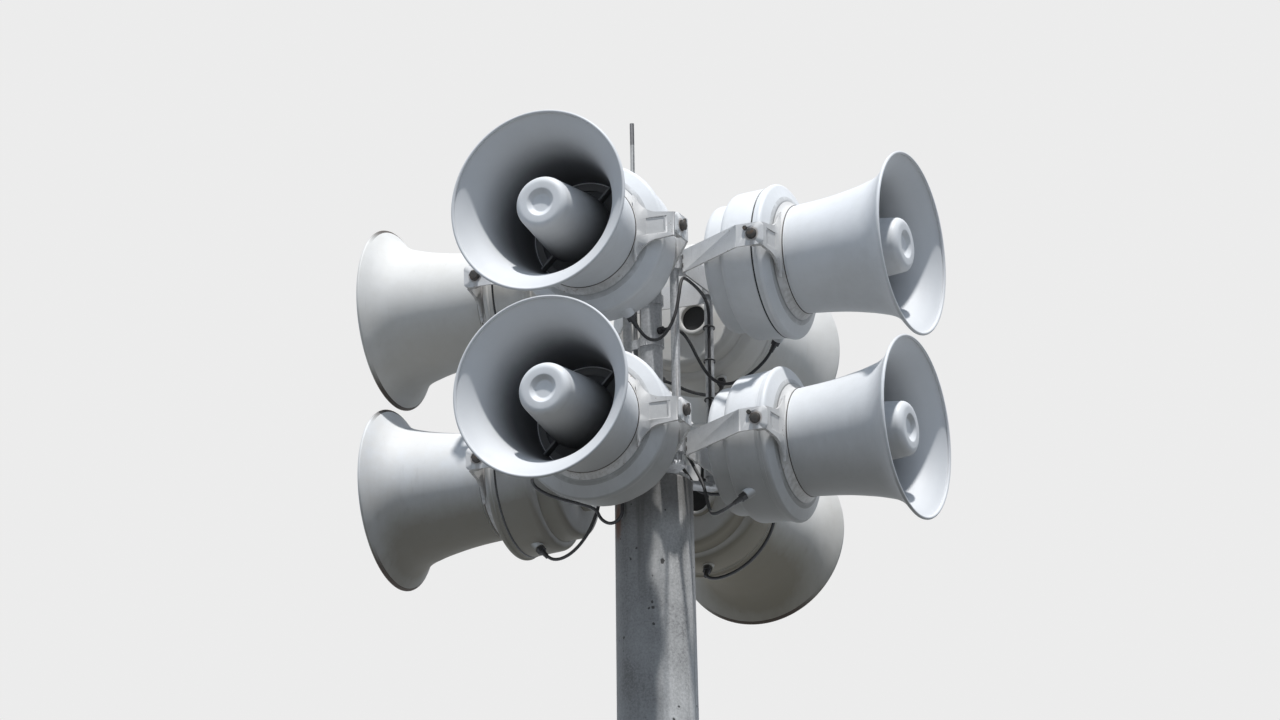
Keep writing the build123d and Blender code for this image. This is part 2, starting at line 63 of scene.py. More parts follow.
to_camera = Vector((
    math.sin(view_turn) * math.cos(view_rise),
    -math.cos(view_turn) * math.cos(view_rise),
    -math.sin(view_rise),
))
level = Vector((math.cos(view_turn), math.sin(view_turn), 0))
target = aim_right * level + aim_up * level.cross(-to_camera)
forward = (target - view_distance * to_camera).normalized()
flat_right = forward.cross(Vector((0, 0, 1))).normalized()
flat_up = flat_right.cross(forward)
right = math.cos(view_roll) * flat_right + math.sin(view_roll) * flat_up
up = math.cos(view_roll) * flat_up - math.sin(view_roll) * flat_right

camera_data = bpy.data.cameras.new("camera")
camera_data.sensor_width = 36
camera_data.lens = lens
camera_data.clip_end = 1000
camera = bpy.data.objects.new("camera", camera_data)
bpy.context.scene.collection.objects.link(camera)
turned = Matrix((right, up, -forward)).transposed().to_4x4()
camera.matrix_world = Matrix.Translation(Vector((0, 0, mid_z)) + view_distance * to_camera) @ turned
bpy.context.scene.camera = camera

# Cables
# Black rubber-sheathed leads, one out of each housing, that hang in loose bows. Seven end at glands
# on the centre pipe, and one runs down a corner tube to a gland on the foot cross. Where a lead
# leaves its nut it wears a tapered boot.
tiers = {"upper": 8.970, "lower": 8.455}
sides = {"front": -90, "right": 0, "back": 90, "left": 180}
horns = [tier + "_" + side for tier in tiers for side in sides]
cable_r = 0.0045

# The gland sits on the body's side: degrees round from the bottom, and how far the lead leans back
gland_turns = {
    "upper_front": -20,
    "upper_right": -35,
    "upper_back": 20,
    "upper_left": 20,
    "lower_front": 70,
    "lower_right": 38,
    "lower_back": 6,
    "lower_left": -12,
}
gland_lean = math.radians(40)
gland_x = 0.322
body_r = 0.206
nut_top = 0.0223
boot_r = 0.0084
boot_length = 0.024
boot_bands = 7
boot_taper = 0.32
boot_groove = 0.88

# Straight run out of each gland, then points along the horn, to its +Y side, and up from mid-tier
first_runs = {
    "upper_front": 0.034,
    "upper_right": 0.034,
    "upper_back": 0.045,
    "upper_left": 0.045,
    "lower_front": 0.034,
    "lower_right": 0.032,
    "lower_back": 0.026,
    "lower_left": 0.030,
}
side_route = [
    (0.234, -0.090, -0.008),
    (0.186, -0.074, -0.020),
    (0.1316, -0.0479, -0.020),
    (0.0799, -0.0291, -0.012),
    (0.04205, -0.01531, -0.012),
]
routes = {
    "upper_front": [
        (0.252, 0.097, 0.006),
        (0.214, 0.112, 0.014),
        (0.186, 0.128, 0.048),
        (0.168, 0.142, 0.096),
        (0.158, 0.148, 0.146),
        (0.144, 0.148, 0.190),
        (0.118, 0.144, 0.216),
        (0.070, 0.143, 0.220),
        (0.000, 0.141, 0.217),
        (-0.056, 0.137, 0.210),
        (-0.092, 0.132, 0.186),
        (-0.103, 0.127, 0.144),
        (-0.104, 0.126, 0.084),
        (-0.103, 0.127, 0.010),
        (-0.104, 0.126, -0.070),
        (-0.103, 0.124, -0.140),
        (-0.101, 0.112, -0.196),
        (-0.100, 0.100, -0.243),
        (-0.100, 0.100, -0.2859),
    ],
    "upper_right": [
        (0.262, 0.143, 0.028),
        (0.238, 0.128, 0.002),
        (0.214, 0.104, -0.022),
        (0.190, 0.076, -0.038),
        (0.167, 0.048, -0.036),
        (0.149, 0.022, -0.014),
        (0.135, -0.002, 0.022),
        (0.121, -0.020, 0.064),
        (0.100, -0.031, 0.097),
        (0.0677, -0.0246, 0.112),
        (0.04205, -0.01531, 0.112),
    ],
    "upper_back": side_route,
    "upper_left": side_route,
    "lower_front": [
        (0.254, -0.243, -0.356),
        (0.218, -0.226, -0.370),
        (0.184, -0.196, -0.380),
        (0.152, -0.165, -0.386),
        (0.112, -0.122, -0.396),
        (0.104, -0.112, -0.428),
        (0.104, -0.0808, -0.446),
        (0.104, -0.0496, -0.428),
        (0.102, -0.050, -0.390),
        (0.100, -0.051, -0.345),
        (0.098, -0.050, -0.300),
        (0.092, -0.044, -0.258),
        (0.0752, -0.0274, -0.225),
        (0.04205, -0.01531, -0.225),
    ],
    "lower_right": [
        (0.256, -0.156, -0.469),
        (0.227, -0.138, -0.468),
        (0.206, -0.112, -0.444),
        (0.190, -0.090, -0.404),
        (0.174, -0.076, -0.356),
        (0.150, -0.064, -0.314),
        (0.128, -0.054, -0.276),
        (0.104, -0.041, -0.244),
        (0.0752, -0.0274, -0.225),
        (0.04205, -0.01531, -0.225),
    ],
    "lower_back": [
        (0.282, -0.058, -0.513),
        (0.287, -0.104, -0.503),
        (0.293, -0.150, -0.478),
        (0.296, -0.190, -0.441),
        (0.295, -0.220, -0.396),
        (0.286, -0.236, -0.350),
        (0.260, -0.221, -0.316),
        (0.222, -0.188, -0.306),
        (0.182, -0.152, -0.308),
        (0.150, -0.112, -0.318),
        (0.126, -0.078, -0.312),
        (0.118, -0.058, -0.275),
        (0.100, -0.042, -0.243),
        (0.0752, -0.0274, -0.225),
        (0.04205, -0.01531, -0.225),
    ],
    "lower_left": [
        (0.260, 0.054, -0.507),
        (0.228, 0.054, -0.498),
        (0.198, 0.052, -0.475),
        (0.171, 0.050, -0.441),
        (0.151, 0.048, -0.398),
        (0.137, 0.046, -0.350),
        (0.129, 0.045, -0.302),
        (0.114, 0.0415, -0.260),
        (0.080, 0.0291, -0.225),
        (0.04205, 0.01531, -0.225),
    ],
}


class Wire:
    """What leaves a shader node. Arithmetic on it adds Math nodes, and node() adds any other."""

    def __init__(self, tree, socket=None):
        self.tree = tree
        self.socket = socket

    def node(self, kind, settings, inputs, output=0):
        node = self.tree.nodes.new(kind)
        for setting, value in settings.items():
            if setting == "stops":
                while len(node.color_ramp.elements) < len(value):
                    node.color_ramp.elements.new(1)
                for element, (position, colour) in zip(node.color_ramp.elements, value):
                    element.position = position
                    element.color = (*colour, 1)
            else:
                setattr(node, setting, value)
        for name, value in inputs.items():
            if isinstance(value, Wire):
                self.tree.links.new(value.socket, node.inputs[name])
            else:
                node.inputs[name].default_value = value
        return Wire(self.tree, node.outputs[output] if node.outputs else None)

    def output(self, name):
        return Wire(self.tree, self.socket.node.outputs[name])

    def math(self, operation, first, second=0):
        return self.node("ShaderNodeMath", {"operation": operation}, {0: first, 1: second})

    def place(self):
        """Where each point is, in metres."""
        return self.node("ShaderNodeTexCoord", {}, {}, output="Object")

    def part(self, axis):
        """One coordinate of a vector."""
        return self.node("ShaderNodeSeparateXYZ", {}, {"Vector": self}, output=axis)

    def noise(self, place, scale, detail, roughness=0.5):
        """Clouds of values round 0.5, drawn out where the scale differs along each axis."""
        if isinstance(scale, tuple):
            place = self.node("ShaderNodeMapping", {}, {"Vector": place, "Scale": scale})
            scale = 1
        inputs = {"Vector": place, "Scale": scale, "Detail": detail, "Roughness": roughness}
        return self.node("ShaderNodeTexNoise", {}, inputs)

    def ramp(self, value, start, end, top=1):
        """A soft step from 0, for a value at the start, to the top, for a value at the end."""
        inputs = {"Value": value, "From Min": start, "From Max": end, "To Max": top}
        return self.node("ShaderNodeMapRange", {"interpolation_type": "SMOOTHSTEP"}, inputs)

    def mixed(self, share, under, over):
        """A share of one colour over another, which can be a wire."""
        under = under if isinstance(under, Wire) else (*under, 1)
        inputs = {"Factor": share, 6: under, 7: (*over, 1)}
        return self.node("ShaderNodeMix", {"data_type": "RGBA"}, inputs, output=2)

    def bump(self, strength, distance, height):
        """The normals of a fine relief."""
        inputs = {"Strength": strength, "Distance": distance, "Height": height}
        return self.node("ShaderNodeBump", {}, inputs)

    def __add__(self, other):
        return self.math("ADD", self, other)

    def __radd__(self, other):
        return self.math("ADD", other, self)

    def __sub__(self, other):
        return self.math("SUBTRACT", self, other)

    def __mul__(self, other):
        return self.math("MULTIPLY", self, other)

    def __rmul__(self, other):
        return self.math("MULTIPLY", other, self)

    def __lt__(self, other):
        return self.math("LESS_THAN", self, other)

    def __gt__(self, other):
        return self.math("GREATER_THAN", self, other)


def new_material(name):
    """An empty material and the wire that its nodes are made from."""
    material = bpy.data.materials.new(name)
    material.use_nodes = True
    material.node_tree.nodes.clear()
    return material, Wire(material.node_tree)


def surface(wire, sockets):
    """The material's one shader, with its sockets, joined to the output."""
    shader = wire.node("ShaderNodeBsdfPrincipled", {}, sockets)
    wire.node("ShaderNodeOutputMaterial", {}, {"Surface": shader})


def rubber(name, colour, dust):
    """Black rubber or nylon, greyed by the sun, with dust on what faces up."""
    material, wire = new_material(name)
    place = wire.place()
    facing = place.output("Normal").part("Z")
    mottle = wire.noise(place, scale=45, detail=4)
    grain = wire.noise(place, scale=900, detail=2)
    dusty = wire.ramp(facing + mottle - 0.5, start=0.2, end=1.3)
    tone = wire.mixed(dusty, colour, dust)
    relief = wire.bump(strength=0.15, distance=0.0004, height=grain)
    surface(wire, {"Base Color": tone, "Roughness": 0.45 + 0.3 * mottle, "Normal": relief})
    return material


def horn_place(horn, height=None):
    """Where a horn drawn facing +X at its own axis goes, or its turn alone at another height."""
    tier, side = horn.split("_")
    lift = tiers[tier] if height is None else height
    return Matrix.Translation((0, 0, lift)) @ Matrix.Rotation(math.radians(sides[side]), 4, "Z")


def gland_place(horn):
    """On the horn: the gland's seat on the body, with +Z the way the lead leaves."""
    turn = math.radians(gland_turns[horn])
    outward = Vector((0, -math.sin(turn), -math.cos(turn)))
    leaving = outward * math.cos(gland_lean) - Vector((math.sin(gland_lean), 0, 0))
    seat = Vector((gland_x, 0, 0)) + outward * body_r
    return Matrix.Translation(seat) @ leaving.to_track_quat("Z", "X").to_matrix().to_4x4()


def dress(piece, body, materials, replaced=()):
    """Finish in the material slots, body and replaced nodes of a piece."""
    slots = piece.data.materials
    for number, material in enumerate(materials):
        if number < len(slots):
            slots[number] = material
        else:
            slots.append(material)
    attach(piece, body)
    if replaced:
        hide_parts(*replaced)


def copied(piece, name, place):
    """A copy with its own mesh, moved to its place."""
    mesh = piece.data.copy()
    mesh.transform(place)
    twin = bpy.data.objects.new(name, mesh)
    bpy.context.scene.collection.objects.link(twin)
    return twin


def discard(*pieces):
    """The pattern piece that the copies were made from goes."""
    for piece in pieces:
        bpy.data.objects.remove(piece)


black_rubber = rubber("black_rubber", (0.012, 0.012, 0.013), (0.085, 0.083, 0.078))

# Boot: a ribbed cone that the lead comes out of
bpy.ops.object.select_all(action="DESELECT")
bpy.ops.mesh.primitive_cylinder_add(vertices=24, radius=boot_r, depth=boot_length, location=(0, 0, 0))
boot = bpy.context.object
bpy.ops.object.mode_set(mode="EDIT")
for cut in range(1, boot_bands):
    bpy.ops.mesh.select_all(action="SELECT")
    bpy.ops.mesh.bisect(
        plane_co=(0, 0, -boot_length / 2 + cut * boot_length / boot_bands),
        plane_no=(0, 0, 1),
    )
shape = bmesh.from_edit_mesh(boot.data)
for vertex in shape.verts:
    share = vertex.co.z / boot_length + 0.5
    ring = round(share * boot_bands)
    taper = 1 - boot_taper * share
    groove = boot_groove if ring % 2 and ring < boot_bands else 1
    vertex.co.x *= taper * groove
    vertex.co.y *= taper * groove
bmesh.update_edit_mesh(boot.data)
bpy.ops.mesh.select_all(action="SELECT")
bpy.ops.transform.translate(value=(0, 0, nut_top + boot_length / 2))
bpy.ops.object.mode_set(mode="OBJECT")
bpy.ops.object.shade_smooth_by_angle(angle=math.radians(40))

for horn in horns:
    seat = gland_place(horn)
    leaving = (seat.to_3x3() @ Vector((0, 0, 1))).normalized()
    from_mid = Vector((0, 0, tiers[horn.split("_")[0]] - mid_z))
    tip = seat.translation + leaving * nut_top + from_mid
    points = [tip, tip + leaving * first_runs[horn]] + [Vector(point) for point in routes[horn]]
    place = horn_place(horn, mid_z)

    curve_data = bpy.data.curves.new(horn + "_route", "CURVE")
    curve_data.dimensions = "3D"
    curve_data.resolution_u = 8
    spline = curve_data.splines.new("NURBS")
    spline.points.add(len(points) - 1)
    for point, where in zip(spline.points, points):
        point.co = (*(place @ where), 1)
    spline.order_u = 3
    spline.use_endpoint_u = True
    route = bpy.data.objects.new(horn + "_route", curve_data)
    bpy.context.scene.collection.objects.link(route)
    line = bpy.data.meshes.new_from_object(route)
    curve_data.bevel_depth = cable_r
    curve_data.bevel_resolution = 4
    curve_data.use_fill_caps = True
    lead = bpy.data.objects.new(horn + "_lead", bpy.data.meshes.new_from_object(route))
    bpy.context.scene.collection.objects.link(lead)
    bpy.data.objects.remove(route)
    for polygon in lead.data.polygons:
        polygon.use_smooth = len(polygon.vertices) == 4
    lead.data.materials.clear()
    lead.data.materials.append(black_rubber)
    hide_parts(horn + "_cable")
    place @ Vector((0.15, 0, 0))
    place @ Vector((0.29, 0, 0))
    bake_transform(lead)

    sleeve = copied(boot, horn + "_boot", horn_place(horn) @ seat)
    dress(sleeve, horn + "_horn", [black_rubber])

discard(boot)

# Concrete pole
# A round spun concrete pole, tapered to its head, cast in a split steel mould: a faint seam runs
# up each side. Small air holes, dark runs of rain and a rusty mark under the frame have come since.
# One side of the pole carries painted shade, the dark stains at its head have painted shade over
# them, and the air holes are coloured dark as shade.
pole_height = 8.4
pole_top_r = 0.105
pole_foot_r = 0.161
pole_edge = 0.006
bore_r = 0.046
bore_depth = 0.36
lit_side_direction = (0.87, 0.5, 0)

# The rusty mark is found after heights are squeezed, which draws it out into a run
rust_squeeze = (1, 1, 0.38)
rust_place = (-0.072, -0.075, 3.147)

bpy.ops.object.select_all(action="DESELECT")
bpy.ops.mesh.primitive_cone_add(
    vertices=96,
    radius1=pole_foot_r,
    radius2=pole_top_r,
    depth=pole_height,
    location=(0, 0, 0),
)
pole = bpy.context.object
pole.name = "pole"
bpy.ops.object.mode_set(mode="EDIT")
bpy.ops.mesh.select_all(action="SELECT")
bpy.ops.transform.translate(value=(0, 0, pole_height / 2))


def select_faces(piece, wanted):
    """In edit mode, selects the faces whose middle and normal are wanted."""
    bpy.ops.mesh.select_mode(type="FACE")
    bpy.ops.mesh.select_all(action="DESELECT")
    shape = bmesh.from_edit_mesh(piece.data)
    for face in shape.faces:
        face.select = wanted(face.calc_center_median(), face.normal)
    bmesh.update_edit_mesh(piece.data)


select_faces(pole, lambda middle, normal: normal.z > 0.9)
bpy.ops.mesh.bevel(offset=pole_edge, segments=3, affect="EDGES")
select_faces(pole, lambda middle, normal: normal.z > 0.99)
bpy.ops.mesh.inset(thickness=pole_top_r - pole_edge - bore_r)
bpy.ops.mesh.extrude_region_move(TRANSFORM_OT_translate={"value": (0, 0, -bore_depth)})
bpy.ops.object.mode_set(mode="OBJECT")
bpy.ops.object.shade_smooth_by_angle(angle=math.radians(30))

concrete, wire = new_material("concrete")
place = wire.place()
beside = place.part("Y")
height = place.part("Z")
clouds = wire.noise(place, scale=7, detail=6, roughness=0.6)
grains = wire.noise(place, scale=160, detail=4, roughness=0.7)
rain = wire.noise(place, scale=(34, 34, 1.6), detail=4)
stains = wire.noise(place, scale=(11, 11, 0.35), detail=3)
ragged = wire.noise(place, scale=130, detail=2)
holes = wire.node("ShaderNodeTexVoronoi", {}, {"Vector": place, "Scale": 30, "Randomness": 1})
holes = holes + 0.3 * (ragged - 0.5)
hole_size = 0.9 * wire.noise(place, scale=17, detail=1) - 0.42
# Painted shade: the air holes are coloured near black, as the shade inside them, besides their dent.
air_holes = wire.ramp(hole_size - holes, start=-0.035, end=0.03)
# Painted shade: the side of the pole that faces away from this direction is darkened.
toward_lit_side = wire.node(
    "ShaderNodeVectorMath",
    {"operation": "DOT_PRODUCT"},
    {0: place, 1: lit_side_direction},
    output="Value",
)
painted_shade_side = wire.ramp(
    toward_lit_side + 0.10 * (stains - 0.5) + 0.05 * (clouds - 0.5),
    start=0.035,
    end=-0.035,
    top=0.42,
)
from_seam = wire.math("ABSOLUTE", beside + 0.012 * (clouds - 0.5))
seam = wire.ramp(from_seam, start=0.0035, end=0.0012)
rust_mark = wire.node(
    "ShaderNodeVectorMath",
    {"operation": "DISTANCE"},
    {0: wire.node("ShaderNodeMapping", {}, {"Vector": place, "Scale": rust_squeeze}), 1: rust_place},
    output="Value",
)
rusty = wire.ramp(rust_mark + 0.05 * (clouds - 0.5), start=0.028, end=0.006)
# Dark stains at the head of the pole, with painted shade from the frame above laid over them.
head_stain_and_shade = wire.ramp(
    height + 0.22 * (stains - 0.5) + 0.1 * (rain - 0.5),
    start=8.24,
    end=8.34,
    top=0.62,
)
damp = wire.ramp(height + 0.7 * (clouds - 0.5), start=0.55, end=0.05)
runs = wire.ramp(rain, start=0.55, end=0.75, top=0.55)
tone = wire.node(
    "ShaderNodeValToRGB",
    {
        "stops": [
            (0.38, (0.200, 0.197, 0.192)),
            (0.46, (0.370, 0.365, 0.356)),
            (0.53, (0.480, 0.474, 0.462)),
            (0.62, (0.620, 0.614, 0.600)),
        ]
    },
    {"Fac": 0.33 * clouds + 0.34 * grains + 0.33 * stains},
)
tone = wire.mixed(runs, tone, (0.16, 0.155, 0.148))
tone = wire.mixed(painted_shade_side, tone, (0.13, 0.125, 0.12))
tone = wire.mixed(head_stain_and_shade, tone, (0.085, 0.078, 0.07))
tone = wire.mixed(seam * 0.5, tone, (0.17, 0.165, 0.155))
tone = wire.mixed(air_holes, tone, (0.07, 0.068, 0.065))
tone = wire.mixed(rusty * 0.75, tone, (0.16, 0.062, 0.028))
tone = wire.mixed(damp * 0.6, tone, (0.115, 0.12, 0.085))
relief = wire.bump(strength=0.7, distance=0.0022, height=0.35 * grains + 0.4 * seam - 0.9 * air_holes)
surface(wire, {"Base Color": tone, "Roughness": 0.72 + 0.2 * clouds, "Normal": relief})
dress(pole, "mast", [concrete], ["concrete_pole"])

# Frame
# Hot-dip galvanised steel: a foot cross bolted to the pole's head, a centre pipe, four corner
# tubes and a top cross, with split clamps that the yokes are bolted to. The zinc has gone dull.


def pick(active, *others):
    """Selects these pieces alone, and makes the first the active one."""
    bpy.ops.object.select_all(action="DESELECT")
    for piece in (active, *others):
        piece.select_set(True)
    bpy.context.view_layer.objects.active = active


def smoothed(node, name, sharp=35):
    """A copy of a built node with its triangles joined and its round faces smooth."""
    piece = bpy.data.objects.new(name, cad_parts[node].data.copy())
    bpy.context.scene.collection.objects.link(piece)
    for key in list(piece.data.keys()):
        del piece.data[key]
    pick(piece)
    bpy.ops.object.mode_set(mode="EDIT")
    bpy.ops.mesh.select_all(action="SELECT")
    bpy.ops.mesh.remove_doubles(threshold=0.00001)
    bpy.ops.object.mode_set(mode="OBJECT")
    bpy.ops.object.shade_smooth_by_angle(angle=math.radians(sharp))
    return piece


galvanised, wire = new_material("galvanised_steel")
place = wire.place()
spangle = wire.node("ShaderNodeTexVoronoi", {}, {"Vector": place, "Scale": 140})
dull = wire.noise(place, scale=14, detail=5, roughness=0.65)
runs = wire.noise(place, scale=(75, 75, 7), detail=3)
tone = wire.node(
    "ShaderNodeValToRGB",
    {"stops": [(0.3, (0.27, 0.275, 0.28)), (0.5, (0.42, 0.425, 0.43)), (0.72, (0.55, 0.555, 0.56))]},
    {"Fac": 0.65 * dull + 0.25 * spangle + 0.2 * runs},
)
dark_runs = wire.ramp(runs, start=0.58, end=0.75, top=0.6)
tone = wire.mixed(dark_runs, tone, (0.15, 0.12, 0.10))
relief = wire.bump(strength=0.2, distance=0.0005, height=dull + 0.3 * spangle)
surface(
    wire,
    {"Base Color": tone, "Metallic": 0.55, "Roughness": 0.42 + 0.28 * dull + 0.1 * runs, "Normal": relief},
)
for node in ("foot_cross", "centre_pipe", "corner_uprights", "top_cross", "yoke_clamps", "antenna_clamps"):
    dress(smoothed(node, node + "_galvanised"), "mast", [galvanised], [node])

# Bolts
# Hex heads on flat washers: four hold the foot cross to the pole's head, and two go through each
# yoke into each clamp. They are plated steel, browned at their edges.
bolt_r = 0.0075
bolt_height = 0.0055
bolt_edge = 0.0009
washer_r = 0.0105
washer_height = 0.0018
yoke_face_x = 0.1489
clamp_side = 0.120
clamp_bolt_up = 0.012
foot_bolt_r = 0.080
foot_top = 8.4121

bpy.ops.object.select_all(action="DESELECT")
bpy.ops.mesh.primitive_cylinder_add(vertices=6, radius=bolt_r, depth=bolt_height)
bolt = bpy.context.object
bpy.ops.object.mode_set(mode="EDIT")
bpy.ops.mesh.select_all(action="SELECT")
bpy.ops.transform.translate(value=(0, 0, washer_height + bolt_height / 2))
select_faces(bolt, lambda middle, normal: normal.z > 0.9)
bpy.ops.mesh.bevel(offset=bolt_edge, segments=2, affect="EDGES")
bpy.ops.object.mode_set(mode="OBJECT")
bpy.ops.mesh.primitive_cylinder_add(
    vertices=24,
    radius=washer_r,
    depth=washer_height,
    location=(0, 0, washer_height / 2),
)
washer = bpy.context.object
bpy.ops.object.transform_apply(location=True)
pick(bolt, washer)
bpy.ops.object.join()
bpy.ops.object.shade_smooth_by_angle(angle=math.radians(30))

dark_steel, wire = new_material("dark_steel")
patches = wire.noise(wire.place(), scale=85, detail=5, roughness=0.7)
tone = wire.node(
    "ShaderNodeValToRGB",
    {"stops": [(0.38, (0.045, 0.044, 0.043)), (0.55, (0.07, 0.064, 0.058)), (0.74, (0.13, 0.08, 0.052))]},
    {"Fac": patches},
)
relief = wire.bump(strength=0.3, distance=0.0006, height=patches)
surface(wire, {"Base Color": tone, "Metallic": 0.4, "Roughness": 0.5 + 0.3 * patches, "Normal": relief})

forward_bolt = Matrix.Rotation(math.radians(90), 4, "Y")
for side in sides:
    bolts = []
    for tier in tiers:
        for across in (-clamp_side, clamp_side):
            for rise in (-clamp_bolt_up, clamp_bolt_up):
                seat = Matrix.Translation((yoke_face_x, across, rise)) @ forward_bolt
                bolts.append(copied(bolt, side + "_clamp_bolts", horn_place(tier + "_" + side) @ seat))
    pick(*bolts)
    bpy.ops.object.join()
    bolts[0].name = side + "_clamp_bolts"
    dress(bolts[0], "mast", [dark_steel])
for number in range(4):
    seat = Matrix.Rotation(math.radians(90 * number), 4, "Z") @ Matrix.Translation((foot_bolt_r, 0, foot_top))
    dress(copied(bolt, "foot_bolt_" + str(number + 1), seat), "mast", [dark_steel])
discard(bolt)
for node in ("pivot_bolts", "lock_screws"):
    dress(smoothed(node, node + "_browned", 25), "mast", [dark_steel], [node])

# Antenna rod
# A slim grey rod, clamped beside the centre pipe, whose head is wrapped in darker tape.
tape_start = 9.372

antenna_grey, wire = new_material("antenna_grey")
place = wire.place()
mottle = wire.noise(place, scale=60, detail=3)
taped = (place.part("Z") + 0.004 * mottle) > tape_start
tone = wire.node(
    "ShaderNodeValToRGB",
    {"stops": [(0.35, (0.20, 0.20, 0.20)), (0.65, (0.31, 0.31, 0.305))]},
    {"Fac": mottle},
)
tone = wire.mixed(taped, tone, (0.09, 0.09, 0.095))
relief = wire.bump(strength=0.2, distance=0.0005, height=mottle + taped)
surface(wire, {"Base Color": tone, "Roughness": 0.4 + 0.2 * mottle, "Normal": relief})
dress(smoothed("antenna_rod", "antenna_rod_grey"), "mast", [antenna_grey], ["antenna_rod"])
pipe_glands = smoothed("cable_glands", "cable_glands_black")
dress(pipe_glands, "mast", [black_rubber], ["cable_glands"])

# Cable ties
# Black nylon bands that hold the upper front lead to the corner tube it runs down.
tube_corner = (0.120, 0.120)
tied_lead = (0.1262, 0.1037)
tie_heights = (8.855, 8.760, 8.650)
tie_r = 0.0152
tie_wrap = 0.0019
tie_stretch = (1, 1.42, 1.5)

bpy.ops.object.select_all(action="DESELECT")
bpy.ops.mesh.primitive_torus_add(
    major_segments=40,
    minor_segments=8,
    major_radius=tie_r,
    minor_radius=tie_wrap,
    location=(0, 0, 0),
)
tie = bpy.context.object
bpy.ops.object.mode_set(mode="EDIT")
bpy.ops.mesh.select_all(action="SELECT")
bpy.ops.transform.resize(value=tie_stretch)
bpy.ops.object.mode_set(mode="OBJECT")
bpy.ops.object.shade_smooth_by_angle(angle=math.radians(50))
tie_middle = [(one + other) / 2 for one, other in zip(tube_corner, tied_lead)]
lean = math.atan2(tied_lead[1] - tube_corner[1], tied_lead[0] - tube_corner[0]) - math.radians(90)
for number, height in enumerate(tie_heights):
    seat = Matrix.Translation((*tie_middle, height)) @ Matrix.Rotation(lean, 4, "Z")
    dress(copied(tie, "cable_tie_" + str(number + 1), seat), "mast", [black_rubber])
discard(tie)

# Yokes and brackets
# The yokes are flat steel bar, bent cold round the housings. The brackets are cast, with a collar
# on the horn's hub and two wings. Both are painted a warm light grey, now chalky and rust-stained
# below the pivots. The yokes' grey is set lighter than the brackets', as painted light.
pivot_x = 0.403
tier_spacing = 0.515
tier_middle = tiers["lower"] + tier_spacing / 2


def folded(wire, place):
    """Along a horn, across it and up from its axis, the same for all eight horns."""
    one = wire.math("ABSOLUTE", place.part("X"))
    other = wire.math("ABSOLUTE", place.part("Y"))
    along = wire.math("MAXIMUM", one, other)
    across = wire.math("MINIMUM", one, other)
    lifted = place.part("Z") - (tiers["lower"] - tier_spacing / 2)
    rise = wire.math("FLOORED_MODULO", lifted, tier_spacing) - tier_spacing / 2
    return along, across, rise


def grey_paint(name, dull, middling, bright):
    """Chalky paint, with dirt runs, darker faces that look down, rust below the pivots and a few chips."""
    material, wire = new_material(name)
    place = wire.place()
    facing = place.output("Normal").part("Z")
    along, _, rise = folded(wire, place)
    chalk = wire.noise(place, scale=11, detail=5, roughness=0.6)
    flecks = wire.noise(place, scale=190, detail=3, roughness=0.7)
    runs = wire.noise(place, scale=(95, 95, 9), detail=3)
    tone = wire.node(
        "ShaderNodeValToRGB",
        {"stops": [(0.3, dull), (0.5, middling), (0.7, bright)]},
        {"Fac": 0.75 * chalk + 0.25 * flecks},
    )
    # Dirt runs, and a darkening on faces that look down.
    runs_and_undersides = wire.ramp(0.55 * runs - 0.22 * facing, start=0.32, end=0.56, top=0.4)
    tone = wire.mixed(runs_and_undersides, tone, (0.25, 0.225, 0.195))
    beside_pivot = along - pivot_x
    from_pivot = wire.math("SQRT", beside_pivot * beside_pivot + rise * rise)
    ring_rust = wire.ramp(from_pivot - 0.012 * runs, start=0.0165, end=0.0105)
    run_width = wire.math("ABSOLUTE", beside_pivot + 0.01 * (chalk - 0.5))
    run_rust = wire.ramp(run_width + 0.012 * runs, start=0.0135, end=0.008)
    rust = wire.math("MAXIMUM", ring_rust, run_rust * (rise < 0) * 0.6)
    tone = wire.mixed(rust * 0.45, tone, (0.17, 0.10, 0.06))
    chips = wire.ramp(0.6 * flecks + 0.5 * chalk, start=0.675, end=0.70, top=0.8)
    tone = wire.mixed(chips, tone, (0.24, 0.17, 0.12))
    relief = wire.bump(strength=0.25, distance=0.0005, height=flecks - chips)
    surface(wire, {"Base Color": tone, "Roughness": 0.5 + 0.25 * chalk, "Normal": relief})
    return material


# Painted light: the yokes' grey is lighter than the brackets', for the sun on their arms.
yoke_paint_painted_light = grey_paint("yoke_paint_painted_light", (0.66, 0.65, 0.635), (0.76, 0.75, 0.735), (0.84, 0.83, 0.815))
painted = grey_paint("bracket_paint", (0.55, 0.54, 0.525), (0.64, 0.63, 0.615), (0.70, 0.69, 0.675))
for side in sides:
    node = side + "_yokes"
    dress(smoothed(node, side + "_yoke_bars"), "mast", [yoke_paint_painted_light], [node])

